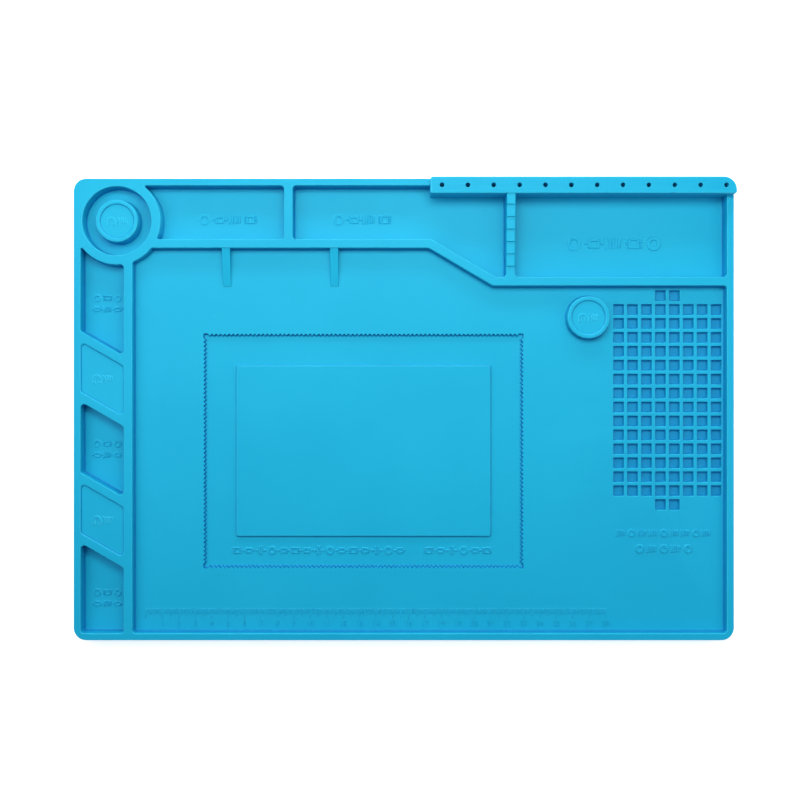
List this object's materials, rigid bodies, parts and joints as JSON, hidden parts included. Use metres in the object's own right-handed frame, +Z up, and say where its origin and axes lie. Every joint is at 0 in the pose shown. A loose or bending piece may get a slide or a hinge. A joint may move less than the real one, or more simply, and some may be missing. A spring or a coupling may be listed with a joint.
{
  "type": "silicone electronics repair mat",
  "caption": "Sky-blue moulded silicone repair mat with pockets, a round well, magnetic pads, a board bay, screw pits, a centimetre rule and a raised tool bar.",
  "frame": {"origin": "centre of the underside", "axes": "+X along the long side, to the user's right; +Y away from the user; +Z up"},
  "size_m": [0.4, 0.28, 0.0155],
  "materials": {
    "silicone": "satin",
    "magnet_plating": "satin"
  },
  "bodies": {
    "root": {"base_sheet": "silicone", "work_floor": "silicone", "board_bay": "silicone", "bay_platform": "silicone", "pit_long_ribs": "silicone", "pit_cross_ribs": "silicone", "left_rim": "silicone", "near_rim": "silicone", "right_rim": "silicone", "far_rim": "silicone", "corner_well": "silicone", "corner_well_boss": "silicone", "work_area_boss": "silicone", "column_wall": "silicone", "upper_pad": "silicone", "lower_pad": "silicone", "pocket_wall": "silicone", "slanted_wall": "silicone", "right_pocket_wall": "silicone", "pocket_partition": "silicone", "stepped_wall": "silicone", "tool_bar": "silicone", "tool_bar_base": "silicone", "left_rib": "silicone", "right_rib": "silicone", "rule_marks": "silicone", "corner_well_magnet": "magnet_plating", "work_area_magnet": "magnet_plating", "upper_pad_magnet": "magnet_plating", "lower_pad_magnet": "magnet_plating", "corner_well_plug": "silicone", "work_area_plug": "silicone", "upper_pad_plug": "silicone", "lower_pad_plug": "silicone"}
  },
  "joints": []
}
